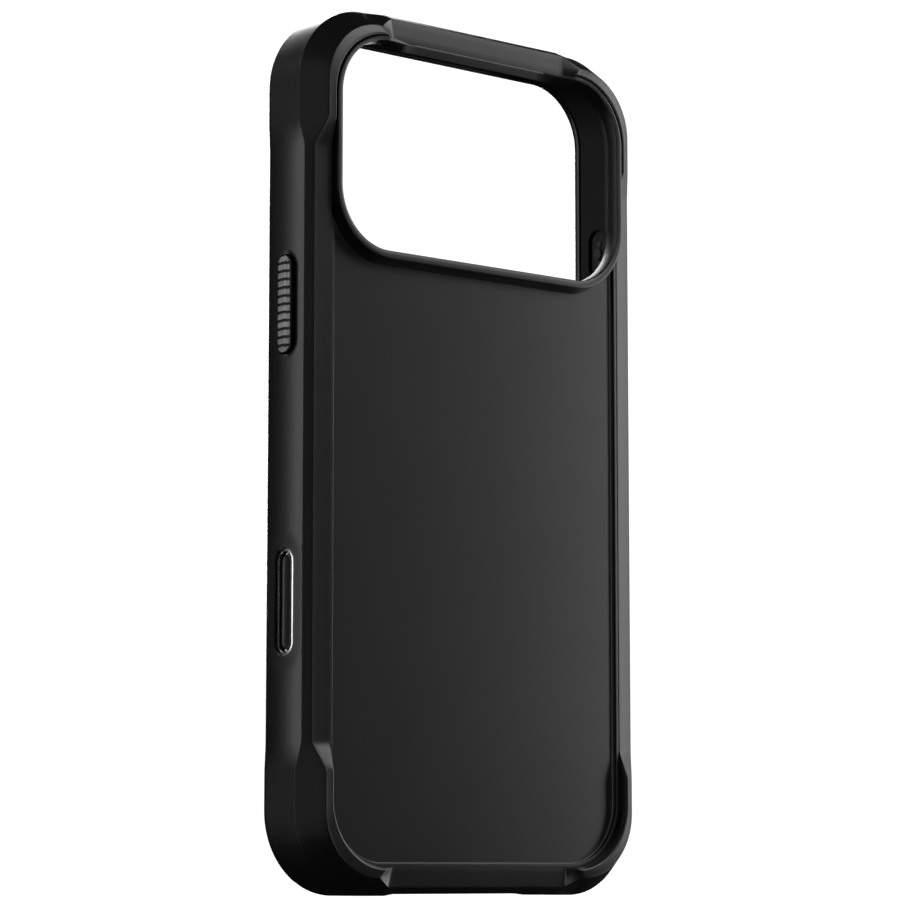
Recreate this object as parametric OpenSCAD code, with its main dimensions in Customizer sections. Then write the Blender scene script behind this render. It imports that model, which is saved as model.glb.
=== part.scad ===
// A rugged phone case, standing on its lower edge.
// X runs across the width, +Y points to the open front, +Z points up.
// The origin is the middle of the lower edge, half way through the depth.

/* [Phone] */
// Width of the phone that the case holds
phone_w = 71.9; // [66:0.1:88]
// Height of the phone
phone_h = 150; // [138:0.5:182]
// Thickness of the phone without its camera plateau
phone_t = 8.75; // [7:0.05:10.6]
// Radius of the phone's corners
phone_r = 11.5; // [9:0.5:12]
// Clearance round the phone
phone_gap = 0.1; // [0.05:0.05:0.3]

/* [Bumper] */
// Wall between the phone and the outside at the sides
side_wall = 3.6; // [3.3:0.1:4.4]
// Wall between the phone and the outside at the two ends
end_wall = 3.4; // [3:0.1:4.4]
// Radius of the outer corners
corner_r = 14.7; // [13:0.1:18]
// Height of the front lip over the screen
screen_lip = 1.45; // [1.2:0.05:2]
// Reach of the front lip over the edge of the screen
lip_reach = 0.25; // [0.1:0.05:1]
// Height of the corner bumps over the back panel
rim_h = 2.6; // [2.4:0.1:3.2]
// Drop from the corner bumps to the inner edge of the long facets
facet_drop = 1.75; // [1.2:0.05:1.8]
// Length of a corner bump along the side
bump_length = 21.2; // [18:0.1:26]
// Length of the ramp from a corner bump to the side's facet
side_ramp = 5.3; // [3:0.1:8]
// Length of the ramp from a corner bump to the end's facet
end_ramp = 4.25; // [2:0.05:6]
// Length of the step beside each flat foot, at the two ends
foot_ramp = 2.4; // [1:0.1:4]

/* [Back] */
// Thickness of the back panel
panel_t = 1.1; // [1:0.05:1.5]
// Thickness of the microfibre lining
lining_t = 0.35; // [0.25:0.05:0.5]
// Distance from the outer edge to the parting line of bumper and frame
inner_inset = 4.95; // [4.8:0.05:5.4]
// Width of the frame's bead round the back panel
bead_w = 0.83; // [0.6:0.01:1.2]

/* [Camera window] */
// Height of the window
window_h = 38; // [30:0.1:48]
// Radius of the window's corners
window_r = 10.8; // [8:0.1:12]
// Distance from the phone's side to the window
window_side_inset = 2.49; // [2.2:0.01:4]
// Distance from the phone's top to the window
window_top_inset = 2.15; // [1.5:0.05:3]
// Width of the surround below the window
sill_w = 1.5; // [1.2:0.1:3]

/* [Buttons] */
// Distance from the phone's top to the middle of the long button
side_button_drop = 50.7; // [45:0.1:60]
// Length of the long button
side_button_length = 17.4; // [12:0.1:21]
// Width of the buttons
button_w = 3.2; // [2.6:0.1:3.9]
// Distance from the phone's top to the middle of the touch strip
touch_drop = 102.9; // [95:0.1:112]
// Length of the touch strip's bezel
touch_length = 18.9; // [15:0.1:23]
// Width of the touch strip's bezel
touch_w = 4.9; // [4.2:0.1:5.6]
// Distance from the phone's top to the middle of the action button
action_drop = 32.4; // [30:0.1:32.5]
// Length of the action button
action_length = 7; // [5:0.1:8]
// Distance from the phone's top to the middle of the upper volume button
volume_up_drop = 45.8; // [44.5:0.1:46]
// Distance from the phone's top to the middle of the lower volume button
volume_down_drop = 59.7; // [59:0.1:66]
// Length of each volume button
volume_length = 9.8; // [7:0.1:10.4]
// Clearance round a button in its slot
slot_gap = 0.25; // [0.15:0.05:0.4]
// Travel of a button
button_travel = 0.4; // [0.2:0.05:0.5]
// Travel of the touch strip
touch_travel = 0.25; // [0.1:0.05:0.3]

/* [Magnets] */
// Distance from the camera surround to the magnet ring
ring_gap = 7.2; // [3:0.1:12]
// Outer diameter of the magnet ring
ring_d = 55.6; // [52:0.1:58]
// Radial width of the magnets
magnet_w = 4.6; // [3:0.1:5]
// Thickness of the magnets
magnet_t = 0.65; // [0.4:0.05:0.8]
// Number of magnets in the ring
magnet_count = 16; // [12:1:24]
// Length of the alignment magnet
bar_length = 22; // [14:1:25]

/* [Ports] */
// Width of the charging port's opening
port_w = 13; // [11:0.1:16]
// Height of the charging port's opening
port_h = 6.4; // [5.5:0.1:7.5]
// Width of each speaker slot
speaker_w = 14; // [10:0.1:15]
// Height of each speaker slot
speaker_h = 2.6; // [1.5:0.1:3.2]

/* [Hidden] */
$fn = 64;
past = 1;                               // how far a cut runs past the face it opens

// Places through the depth, from the open front (+Y) to the back
film_t = 0.1;
depth = screen_lip + phone_t + phone_gap + lining_t + panel_t + rim_h;
y_front = depth / 2;
y_screen = y_front - screen_lip;
y_lining = y_screen - phone_t - phone_gap;
y_floor = y_lining - lining_t;
y_panel = y_floor - panel_t;
y_rim = -depth / 2;
y_button = (y_screen + y_lining) / 2;   // the buttons lie half way through the phone

// Places across and up
pocket_hw = phone_w / 2 + phone_gap;
hw = pocket_hw + side_wall;
case_h = phone_h + 2 * phone_gap + 2 * end_wall;
hh = case_h / 2;
z_phone_top = case_h - end_wall - phone_gap;
panel_inset = inner_inset + bead_w;

// Camera window and its surround
window_hw = phone_w / 2 - window_side_inset;
window_top = z_phone_top - window_top_inset;
window_bottom = window_top - window_h;
ring_hw = hw - inner_inset;
ring_top = case_h - inner_inset;
ring_bottom = window_bottom - sill_w;
surround_r = window_r + ring_hw - window_hw;

// The outer skin: [inset along the edges, inset at the corners, Y along the edges,
// Y at the corners, radius added at the corners, whether the flat feet keep the
// corner's inset], front to back
edge_inset = 0.2;                       // the edges lie this far inside the corner bumps
edge_lean = 0.12;                       // and lean in by this much towards the back
front_round = 1.3;
round_mid = 0.27 * front_round;         // how far the middle of that round is from both faces
edge_chamfer = [1.18, 1.49];            // across and through the depth, along the edges
bump_chamfer = [3.13, 4.66];            // the same at the corner bumps
facet_rise = 0.51;                      // the facets lean back towards their inner edge
rim_round = 0.335;
rim_w = 1.22;
rim_r_add = [0.3, 1.65];                // at the rim's outer and inner edge
panel_r_add = 2.3;
y_facet = y_rim + facet_drop;
skin = [
    [front_round + edge_inset, front_round, y_front, y_front, 0, true],
    [round_mid + edge_inset, round_mid, y_front - round_mid, y_front - round_mid, 0, true],
    [edge_inset, 0, y_front - front_round, y_front - front_round, 0, true],
    [edge_inset + edge_lean, 0, y_facet + facet_rise + edge_chamfer[1],
     y_rim + rim_round + bump_chamfer[1], 0, true],
    [edge_inset + edge_lean + edge_chamfer[0], bump_chamfer[0], y_facet + facet_rise,
     y_rim + rim_round, rim_r_add[0], false],
    [inner_inset, bump_chamfer[0] + rim_w, y_facet, y_rim, rim_r_add[1], false],
    [panel_inset, panel_inset, y_panel, y_panel, panel_r_add, false]
];

// The frame's flange runs inside the bumper and carries the panel on a ledge
flange_inset = 2.3;
flange_t = 0.8;
ledge_w = 2.4;
ledge_t = 0.45;
fit_gap = 0.05;                         // between the panel and the ledge that it lies in
bead_h = 0.75;                          // height of the bead over the panel
flange_w = 0.9;                         // width of the camera ring's inner flange
plateau_step = [0.55, 0.35, 0.9];       // room for the phone's raised cameras: sides, top, depth
surround_ramp = 0.62;                   // share of the end ramp that crosses the surround
lining_margin = 0.65;
lining_gap = 0.3;                       // between the lining and the camera ring
port_web = 2.5;                         // between the charging port and a speaker slot

// Depths of a button's pieces, measured outwards from the phone's side wall
play = 0.1;                             // between a clip or flange and its shelf
pad_solid = 0.2;                        // what a button's pad keeps when it is pressed
pad_start = pocket_hw + play;
clip_start = pad_start + button_travel + pad_solid;
clip_t = 0.3;
clip_end = clip_start + clip_t;
shelf = clip_end + play;
cap_proud = 0.5;
cap_end = hw + cap_proud;
scoop_depth = 0.55;
scoop_w = 1.1;
clip_margin = 0.9;                      // the clip is this much longer than its cap, at each end
post_d = 1.2;
post_reach = 0.2;                       // the posts stand this far through the clip
pad_margin = 0.3;                       // between the pad and the posts
pad_share = 0.6;                        // the pad's width, as a share of the button's

// Depths of the touch strip's pieces
touch_pad_solid = 0.7;                  // what the strip's pad keeps when it is pressed
touch_pad_margin = 0.6;
strip_start = pad_start + touch_travel + touch_pad_solid;
strip_flange_t = 0.3;
strip_flange = 0.55;
bezel_w = 0.85;
bezel_web = 0.6;                        // wall between the strip's flange and the bezel
bezel_sunk = 0.35;                      // the bezel lies this far under the corners' outer face
strip_sunk = 0.25;                      // and the strip this far under the bezel
bezel_seat = strip_start + strip_flange_t + bezel_web;
bezel_end = hw - bezel_sunk;
strip_end = bezel_end - strip_sunk;

function blend(a, b, k) = a + (b - a) * k;

// ---- the outer skin ----
arc_steps = 14;
stations = concat([["side", 0], ["side", 1]],
                  [for (i = [0:arc_steps]) ["arc", 90 * i / arc_steps]],
                  [["foot", 0], ["end", 0]]);

// One point of a ring in the quarter where X is positive and Z is above the middle
function quarter_point(ring, s) =
    let (r = corner_r - ring[1] + ring[4],
         cx = hw - ring[1] - r,
         cz = hh - ring[1] - r)
    s[0] == "arc" ? [cx + r * cos(s[1]), ring[3], cz + r * sin(s[1])] :
    s[0] == "foot" ? [hw - corner_r - end_ramp, ring[2], hh - (ring[5] ? ring[1] : ring[0])] :
    s[0] == "end" ? [hw - corner_r - end_ramp - foot_ramp, ring[2], hh - ring[0]] :
    s[1] == 1 ? [hw - ring[1], ring[3], min(cz, hh - bump_length)] :
    [hw - ring[0], ring[2], hh - bump_length - side_ramp];

function reversed(list) = [for (i = [len(list) - 1:-1:0]) list[i]];

function ring_points(ring) =
    let (q = [for (s = stations) quarter_point(ring, s)])
    [for (p = concat(q,
                     reversed([for (v = q) [-v[0], v[1], v[2]]]),
                     [for (v = q) [-v[0], v[1], -v[2]]],
                     reversed([for (v = q) [v[0], v[1], -v[2]]])))
        p + [0, 0, hh]];

// The closed outer form of the bumper, before anything is cut from it
module blank() {
    n = 4 * len(stations);
    points = [for (ring = skin) each ring_points(ring)];
    sides = [for (i = [0:len(skin) - 2], j = [0:n - 1])
        let (a = i * n + j, b = i * n + (j + 1) % n)
        each [[a, a + n, b], [b, a + n, b + n]]];
    front = [for (j = [0:n - 1]) j];
    back = [for (j = [n - 1:-1:0]) (len(skin) - 1) * n + j];
    polyhedron(points, concat([front, back], sides));
}

// ---- shared shapes ----
module rounded(half_w, z0, z1, r) {
    translate([-half_w + r, z0]) square([2 * (half_w - r), z1 - z0]);
    translate([-half_w, z0 + r]) square([2 * half_w, z1 - z0 - 2 * r]);
    for (x = [-half_w + r, half_w - r], z = [z0 + r, z1 - r])
        translate([x, z]) circle(r);
}

// A rounded plate that faces the front, from y0 to y1
module slab(half_w, z0, z1, r, y0, y1)
    translate([0, y1, 0]) rotate([90, 0, 0]) linear_extrude(y1 - y0) rounded(half_w, z0, z1, r);

// A plate that keeps one inset from the case's outer edge
module inset_slab(inset, r, y0, y1) slab(hw - inset, inset, case_h - inset, r, y0, y1);

// A stadium across the side wall at height z, from x0 to x1
module pill(length, width, z, x0, x1)
    translate([x0, y_button, z]) rotate([90, 0, 90]) linear_extrude(x1 - x0) {
        translate([-width / 2, -(length - width) / 2]) square([width, length - width]);
        for (end = [-1, 1]) translate([0, end * (length - width) / 2]) circle(d = width);
    }

// A stadium through the lower end at x, from below the case to height z1
module end_slot(width, height, x, z1)
    translate([x, y_button, -past]) linear_extrude(z1 + past) {
        translate([-(width - height) / 2, -height / 2]) square([width - height, height]);
        for (end = [-1, 1]) translate([end * (width - height) / 2, 0]) circle(d = height);
    }

module camera_outline(grow, y0, y1)
    slab(ring_hw + grow, ring_bottom - grow, ring_top + grow, surround_r + grow, y0, y1);

// The straight-topped outline round the back panel, below the camera surround
module back_outline(inset, r, y0, y1) {
    top = ring_bottom + surround_r;
    intersection() {
        slab(hw - inset, inset, top + 2 * r, r, y0, y1);
        translate([-hw, y0, 0]) cube([2 * hw, y1 - y0, top]);
    }
}

// The cut that lets the top facet run on across the camera surround
module facet_cut() {
    inner = hw - corner_r - end_ramp;
    outer = inner + end_ramp * surround_ramp;
    start = window_top - window_r / 4;  // a height inside the open window
    translate([0, 0, start])
        linear_extrude(2 * window_r)
            polygon([[-outer, y_rim], [-inner, y_facet], [inner, y_facet], [outer, y_rim],
                     [outer, y_rim - past], [-outer, y_rim - past]]);
}

// ---- a button: slot, cap, clip and pad, drawn on the +X side ----
module button_slot(length, z) {
    pill(length + 2 * slot_gap, button_w + 2 * slot_gap, z, pocket_hw - past, hw + past);
    pill(length + 2 * (clip_margin + slot_gap), button_w + 2 * (clip_margin / 2 + slot_gap), z,
         pocket_hw - past, shelf);
    pill(length + 2 * scoop_w, button_w + 2 * scoop_w, z, hw - edge_inset - scoop_depth, hw + past);
}

module button_cap(length, z) {
    pill(length, button_w, z, clip_end, cap_end);
    posts(length, z, clip_start - post_reach, clip_end);
}

// Two posts that hold the clip
module posts(length, z, x0, x1)
    for (end = [-1, 1])
        translate([x0, y_button, z + end * (length / 2 - button_w / 2)])
            rotate([0, 90, 0]) cylinder(h = x1 - x0, d = post_d);

module button_clip(length, z)
    difference() {
        pill(length + 2 * clip_margin, button_w + clip_margin, z, clip_start, clip_end);
        posts(length, z, clip_start - past, clip_end + past);
    }

module button_pad(length, z)
    pill(length - button_w - post_d - 2 * pad_margin, button_w * pad_share, z,
         pad_start, clip_start);

z_side_button = z_phone_top - side_button_drop;
z_touch = z_phone_top - touch_drop;
z_action = z_phone_top - action_drop;
z_volume_up = z_phone_top - volume_up_drop;
z_volume_down = z_phone_top - volume_down_drop;

// ---- the touch strip's slot, drawn on the +X side ----
module touch_slot(z) {
    pill(touch_length, touch_w, z, bezel_seat, hw + past);
    pill(touch_length - 2 * bezel_w, touch_w - 2 * bezel_w, z, pocket_hw - past, hw);
    pill(touch_length - 2 * bezel_w + 2 * (strip_flange + slot_gap),
         touch_w - 2 * bezel_w + 2 * (strip_flange + slot_gap), z,
         pocket_hw - past, strip_start + strip_flange_t + play);
}

// ---- magnets ----
z_ring = ring_bottom - ring_gap - ring_d / 2;
recess_margin = 0.8;
bar_w = 4.6;
bar_gap = 1.4;
bar_top = z_ring - ring_d / 2 - bar_gap;

module disc(d, y0, y1) translate([0, y1, z_ring]) rotate([90, 0, 0]) cylinder(h = y1 - y0, d = d);

// The outline of the ring with the tail for the alignment magnet
module magnet_outline(grow, y0, y1) {
    disc(ring_d + 2 * grow, y0, y1);
    translate([-bar_w / 2 - grow, y0, bar_top - bar_length - grow])
        cube([bar_w + 2 * grow, y1 - y0, bar_length + bar_gap + ring_d / 2 + grow]);
}

// ---- the pieces ----
module bumper()
    color("#1b1b1d") difference() {
        blank();
        slab(pocket_hw, end_wall, case_h - end_wall, phone_r + phone_gap, y_floor, y_screen);
        slab(phone_w / 2 - lip_reach, end_wall + phone_gap + lip_reach, z_phone_top - lip_reach,
             phone_r - lip_reach, y_screen - past, y_front + past);
        inset_slab(inner_inset, surround_r, y_rim - past, y_floor + past);
        inset_slab(flange_inset, surround_r + inner_inset - flange_inset, y_floor - flange_t, y_floor);
        mirror([1, 0, 0]) button_slot(side_button_length, z_side_button);
        mirror([1, 0, 0]) touch_slot(z_touch);
        button_slot(action_length, z_action);
        button_slot(volume_length, z_volume_up);
        button_slot(volume_length, z_volume_down);
        end_slot(port_w, port_h, 0, end_wall + past);
        for (side = [-1, 1])
            end_slot(speaker_w, speaker_h, side * ((port_w + speaker_w) / 2 + port_web),
                     end_wall + past);
    }

module back_frame()
    color("#222224") difference() {
        union() {
            inset_slab(flange_inset, surround_r + inner_inset - flange_inset,
                       y_floor - flange_t, y_floor);
            back_outline(inner_inset, surround_r, y_panel - bead_h, y_floor - flange_t);
        }
        back_outline(panel_inset, surround_r - bead_w, y_panel - bead_h - past, y_floor - ledge_t);
        back_opening(0, y_floor - ledge_t - past, y_floor + past);
        camera_outline(0, y_rim - past, y_floor + past);
    }

// The opening inside the frame's ledge
module back_opening(shrink, y0, y1)
    slab(hw - panel_inset - ledge_w - shrink, panel_inset + ledge_w + shrink,
         ring_bottom - ledge_w - shrink, surround_r - ledge_w - shrink, y0, y1);

module camera_ring()
    color("#19191a") difference() {
        union() {
            camera_outline(0, y_rim, y_floor);
            intersection() {
                camera_outline(flange_w, y_floor, y_lining);
                slab(pocket_hw - phone_gap, end_wall + phone_gap, z_phone_top, phone_r,
                     y_floor, y_lining);
            }
        }
        slab(window_hw, window_bottom, window_top, window_r, y_rim - past, y_lining + past);
        slab(window_hw + plateau_step[0], window_bottom - plateau_step[0],
             window_top + plateau_step[1], window_r, y_floor - plateau_step[2], y_lining + past);
        facet_cut();
    }

module back_panel()
    color("#2b2b2d") difference() {
        union() {
            back_outline(panel_inset, surround_r - bead_w, y_panel, y_floor - ledge_t);
            back_opening(fit_gap, y_floor - ledge_t, y_floor);
        }
        camera_outline(0, y_rim - past, y_floor + past);
        magnet_outline(recess_margin, y_floor - magnet_t - film_t, y_floor + past);
    }

module lining()
    color("#3a3a3e") slab(pocket_hw - lining_margin, end_wall + phone_gap + lining_margin,
                          ring_bottom - flange_w - lining_gap, phone_r - lining_margin,
                          y_floor, y_lining);

module ring_magnets() {
    opening = 30;                       // the ring stays open over the alignment magnet
    step = (360 - opening) / magnet_count;
    gap = 0.8;                          // degrees between two magnets
    color("#b9bcc0") translate([0, y_floor - film_t, z_ring]) rotate([90, 0, 0])
        for (i = [0:magnet_count - 1])
            rotate([0, 0, -90 + (opening + gap) / 2 + i * step])
                rotate_extrude(angle = step - gap, $fn = 96)
                    translate([ring_d / 2 - magnet_w, 0]) square([magnet_w, magnet_t]);
}

module bar_magnet()
    color("#b9bcc0") translate([-bar_w / 2, y_floor - film_t - magnet_t, bar_top - bar_length])
        cube([bar_w, magnet_t, bar_length]);

module magnet_film()
    color("#d8d4c8") magnet_outline(recess_margin / 2, y_floor - film_t, y_floor);

coil_d = 42;
coil_w = 2.2;
coil_t = 0.12;
module tag_coil()
    color("#b3703a") difference() {
        disc(coil_d, y_floor - film_t - coil_t, y_floor - film_t);
        disc(coil_d - 2 * coil_w, y_floor - film_t - coil_t - past, y_floor);
    }

chip_size = [3.2, 0.35, 2.6];
module tag_chip()
    color("#101012")
        translate([-chip_size[0] / 2, y_floor - film_t - chip_size[1],
                   z_ring + coil_d / 2 - coil_w - chip_size[2]])
            cube(chip_size);

module side_button()
    color("#5b5c60") mirror([1, 0, 0]) button_cap(side_button_length, z_side_button);
module side_button_clip()
    color("#a5a8ac") mirror([1, 0, 0]) button_clip(side_button_length, z_side_button);
module side_button_pad()
    color("#2a2a2c") mirror([1, 0, 0]) button_pad(side_button_length, z_side_button);

module touch_bezel()
    color("#8d8f93") mirror([1, 0, 0]) difference() {
        pill(touch_length, touch_w, z_touch, bezel_seat, bezel_end);
        pill(touch_length - 2 * bezel_w, touch_w - 2 * bezel_w, z_touch, bezel_seat - past,
             bezel_end + past);
    }
module touch_strip()
    color("#08080a") mirror([1, 0, 0]) {
        pill(touch_length - 2 * (bezel_w + slot_gap), touch_w - 2 * (bezel_w + slot_gap), z_touch,
             strip_start, strip_end);
        pill(touch_length - 2 * (bezel_w - strip_flange), touch_w - 2 * (bezel_w - strip_flange),
             z_touch, strip_start, strip_start + strip_flange_t);
    }
module touch_pad()
    color("#2a2a2c") mirror([1, 0, 0])
        pill(touch_length - 2 * (bezel_w + touch_pad_margin),
             touch_w - 2 * (bezel_w + touch_pad_margin), z_touch, pad_start, strip_start);

module action_button() color("#5b5c60") button_cap(action_length, z_action);
module action_button_clip() color("#a5a8ac") button_clip(action_length, z_action);
module action_button_pad() color("#2a2a2c") button_pad(action_length, z_action);
module volume_up() color("#5b5c60") button_cap(volume_length, z_volume_up);
module volume_up_clip() color("#a5a8ac") button_clip(volume_length, z_volume_up);
module volume_up_pad() color("#2a2a2c") button_pad(volume_length, z_volume_up);
module volume_down() color("#5b5c60") button_cap(volume_length, z_volume_down);
module volume_down_clip() color("#a5a8ac") button_clip(volume_length, z_volume_down);
module volume_down_pad() color("#2a2a2c") button_pad(volume_length, z_volume_down);

bumper();
back_frame();
camera_ring();
back_panel();
lining();
ring_magnets();
bar_magnet();
magnet_film();
tag_coil();
tag_chip();
side_button();
side_button_clip();
side_button_pad();
touch_bezel();
touch_strip();
touch_pad();
action_button();
action_button_clip();
action_button_pad();
volume_up();
volume_up_clip();
volume_up_pad();
volume_down();
volume_down_clip();
volume_down_pad();
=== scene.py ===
# %% [markdown]
# # A rugged phone case
# The case stands on its lower edge with its back towards us. A soft black bumper with thick
# faceted corners runs round a stiff frame, a satin back panel and a raised camera surround.
# On the left are a knurled metal button and a touch strip in a bright ring.
#
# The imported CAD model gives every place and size. It is loaded first and never changed:
# finer meshes are built beside it, in the same frame, and stand for the plain CAD pieces.

import math

import bmesh
import bpy
import numpy as np
from mathutils import Euler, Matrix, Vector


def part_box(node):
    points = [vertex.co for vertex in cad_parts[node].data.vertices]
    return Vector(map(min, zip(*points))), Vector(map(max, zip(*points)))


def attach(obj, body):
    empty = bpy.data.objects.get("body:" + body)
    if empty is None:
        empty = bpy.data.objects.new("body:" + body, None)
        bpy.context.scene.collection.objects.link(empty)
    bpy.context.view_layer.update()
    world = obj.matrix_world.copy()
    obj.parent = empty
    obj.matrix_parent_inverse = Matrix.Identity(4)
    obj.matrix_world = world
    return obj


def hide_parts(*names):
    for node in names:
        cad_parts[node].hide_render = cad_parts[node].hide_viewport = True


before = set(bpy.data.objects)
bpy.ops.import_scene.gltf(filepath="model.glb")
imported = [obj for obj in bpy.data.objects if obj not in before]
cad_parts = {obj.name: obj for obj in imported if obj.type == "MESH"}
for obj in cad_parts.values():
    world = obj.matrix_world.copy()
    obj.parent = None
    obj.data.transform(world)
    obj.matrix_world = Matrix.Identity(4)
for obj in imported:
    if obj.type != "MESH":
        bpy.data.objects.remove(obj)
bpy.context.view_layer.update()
MM = 0.001


def box_mm(node):
    """The lowest and highest corner of a CAD node, in millimetres."""
    low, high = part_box(node)
    return np.array(low) / MM, np.array(high) / MM


half_w, half_d, case_h = box_mm("bumper")[1]
mid_z = case_h / 2
y_back = -half_d                        # the corner bumps reach this far back
y_panel = box_mm("back_panel")[0][1]    # outer face of the back panel
y_floor, y_lining = (corner[1] for corner in box_mm("lining"))
y_button = np.mean([corner[1] for corner in box_mm("side_button")])
print("case", 2 * half_w, "x", 2 * half_d, "x", case_h, "mm; panel at", y_panel)

# %% [markdown]
# ## Meshes from grids
# Almost every piece here is a section that is carried along a closed line: the bumper's
# section round the case, the ring's section round the window. So one helper turns a grid of
# points into a mesh, and everything else only has to say where its points lie. Modelling the
# same forms by hand with loops and bevels would work too, but then no size could change.

# %% A mesh from a grid of points
def to_object(name, points, faces, material, body, stands_for=()):
    """Makes an object from points in millimetres, with crisp edges above 32 degrees."""
    mesh = bpy.data.meshes.new(name)
    mesh.from_pydata([tuple(p * MM) for p in np.asarray(points, float)], [], faces)
    work = bmesh.new()
    work.from_mesh(mesh)
    bmesh.ops.remove_doubles(work, verts=work.verts, dist=1e-7)
    bmesh.ops.recalc_face_normals(work, faces=work.faces)
    work.to_mesh(mesh)
    work.free()
    piece = bpy.data.objects.new(name, mesh)
    bpy.context.scene.collection.objects.link(piece)
    if material:
        mesh.materials.append(material)
    shade(mesh)
    if body:
        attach(piece, body)
    if stands_for:
        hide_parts(*stands_for)
    return piece


def shade(mesh, crisp=32):
    mesh.polygons.foreach_set("use_smooth", [True] * len(mesh.polygons))
    mesh.set_sharp_from_angle(angle=math.radians(crisp))


def grid_faces(rows, columns, close_rows=True, close_columns=True):
    """Quads over a grid whose point (row, column) has the number row * columns + column."""
    faces = []
    for i in range(rows if close_rows else rows - 1):
        for j in range(columns if close_columns else columns - 1):
            a, b = i * columns, (i + 1) % rows * columns
            k = (j + 1) % columns
            faces.append((a + j, a + k, b + k, b + j))
    return faces


def shifted(faces, by):
    return [tuple(k + by for k in face) for face in faces]


print("a grid of 3 x 4 points has", len(grid_faces(3, 4, False, False)), "open quads")


# %% [markdown]
# ## Materials
# The whole case is black, so its finishes tell the pieces apart: soft rubber with a fine
# grain, smooth satin plastic, dark metal and gloss. Each finish is a procedural material. Its
# colour, roughness and relief vary a little with noise that is measured in real millimetres,
# because the texture space of every piece is the case's own frame in metres.

# %% One recipe for all the finishes
def finish(name, colour, roughness, vary=0.05, tint=0.25, grain=0.3, relief=0.01,
           cloud=14.0, stretch=(1, 1, 1), **sockets):
    """grain and cloud are the sizes in mm of the fine relief and of the slow variation."""
    material = bpy.data.materials.new(name)
    material.use_nodes = True
    nodes, links = material.node_tree.nodes, material.node_tree.links
    shader = nodes["Principled BSDF"]
    shader.inputs["Specular IOR Level"].default_value = 0.5
    for socket, amount in sockets.items():
        shader.inputs[socket.replace("_", " ")].default_value = amount
    place = nodes.new("ShaderNodeTexCoord")
    scale = nodes.new("ShaderNodeMapping")
    scale.inputs["Scale"].default_value = stretch
    links.new(place.outputs["Object"], scale.inputs["Vector"])

    def noise(size_mm, detail):
        node = nodes.new("ShaderNodeTexNoise")
        node.inputs["Scale"].default_value = 1 / (size_mm * MM)
        node.inputs["Detail"].default_value = detail
        links.new(scale.outputs["Vector"], node.inputs["Vector"])
        return node

    slow, fine = noise(cloud, 3), noise(grain, 2)
    ramp = nodes.new("ShaderNodeValToRGB")
    for stop, share in zip(ramp.color_ramp.elements, (1 - tint, 1 + tint)):
        stop.color = [min(1, c * share) for c in colour] + [1]
    ramp.color_ramp.elements[0].position = 0.3
    ramp.color_ramp.elements[1].position = 0.7
    links.new(slow.outputs["Fac"], ramp.inputs["Fac"])
    links.new(ramp.outputs["Color"], shader.inputs["Base Color"])
    spread = nodes.new("ShaderNodeMapRange")
    spread.inputs["From Min"].default_value = 0.3
    spread.inputs["From Max"].default_value = 0.7
    spread.inputs["To Min"].default_value = roughness - vary
    spread.inputs["To Max"].default_value = roughness + vary
    links.new(fine.outputs["Fac"], spread.inputs["Value"])
    links.new(spread.outputs["Result"], shader.inputs["Roughness"])
    bump = nodes.new("ShaderNodeBump")
    bump.inputs["Strength"].default_value = 1.0
    bump.inputs["Distance"].default_value = relief * MM
    links.new(fine.outputs["Fac"], bump.inputs["Height"])
    links.new(bump.outputs["Normal"], shader.inputs["Normal"])
    return material


rubber = finish("soft rubber", (0.009, 0.009, 0.0095), 0.33, grain=0.22, relief=0.004)
# inside the pocket: rougher matte rubber, plus a darker colour and weaker reflection as painted
# shade
pocket_rubber_painted_shade = finish("matte rubber of the pocket with painted shade", (0.007, 0.007, 0.0075), 0.7, grain=0.25,
                      relief=0.012, Specular_IOR_Level=0.3)
frame_plastic = finish("frame plastic", (0.009, 0.009, 0.0095), 0.36, grain=0.3, relief=0.003)
surround = finish("surround plastic", (0.008, 0.008, 0.0085), 0.36, grain=0.3, relief=0.003)
panel = finish("panel film", (0.006, 0.006, 0.0063), 0.32, vary=0.02, grain=0.12, relief=0.0012)
metal = finish("anodised metal", (0.36, 0.36, 0.365), 0.46, grain=0.15, relief=0.003,
               Metallic=1.0)
# black for the knurl's grooves and the cap's sunk sides: painted shade
groove_painted_shade = finish("painted shade of the grooves", (0.012, 0.012, 0.013), 0.5, grain=0.15,
                      relief=0.004)
bright = finish("polished ring", (0.5, 0.5, 0.51), 0.26, grain=0.2, relief=0.001,
                Metallic=1.0)
gloss = finish("gloss cover", (0.012, 0.012, 0.013), 0.3, vary=0.02, grain=0.5,
               relief=0.0008, Coat_Weight=0.4, Coat_Roughness=0.08)
steel = finish("blackened spring steel", (0.03, 0.03, 0.032), 0.5, grain=0.1, relief=0.003,
               stretch=(1, 1, 0.08), Metallic=1.0)
pad_rubber = finish("pad rubber", (0.02, 0.02, 0.022), 0.6, grain=0.2, relief=0.01)
nickel = finish("nickel plating", (0.6, 0.585, 0.56), 0.24, grain=0.25, relief=0.002,
                Metallic=1.0)
film = finish("polyester film", (0.55, 0.52, 0.45), 0.3, grain=1.5, relief=0.004,
              Transmission_Weight=0.15)
copper = finish("etched copper", (0.62, 0.31, 0.17), 0.3, grain=0.15, relief=0.003,
                Metallic=1.0)
chip_black = finish("chip moulding", (0.012, 0.012, 0.013), 0.5, grain=0.08, relief=0.006)
cloth = finish("microfibre", (0.03, 0.03, 0.032), 0.9, vary=0.06, tint=0.35, grain=0.16,
               relief=0.06, cloud=6.0, Sheen_Weight=0.6, Sheen_Roughness=0.4)
print("finishes", len(bpy.data.materials))

# %% [markdown]
# ## The line round the case
# The bumper's section changes on its way round: it is low along the four edges and rises at
# the corners. Each place on the way, a station, knows how much it belongs to a corner. The
# sides need close stations where the buttons are, since a dished recess is pressed into the
# wall there, and few in between. Even steps would be shorter to write, but they would be
# either too coarse for a dish or wasteful everywhere else.

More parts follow.
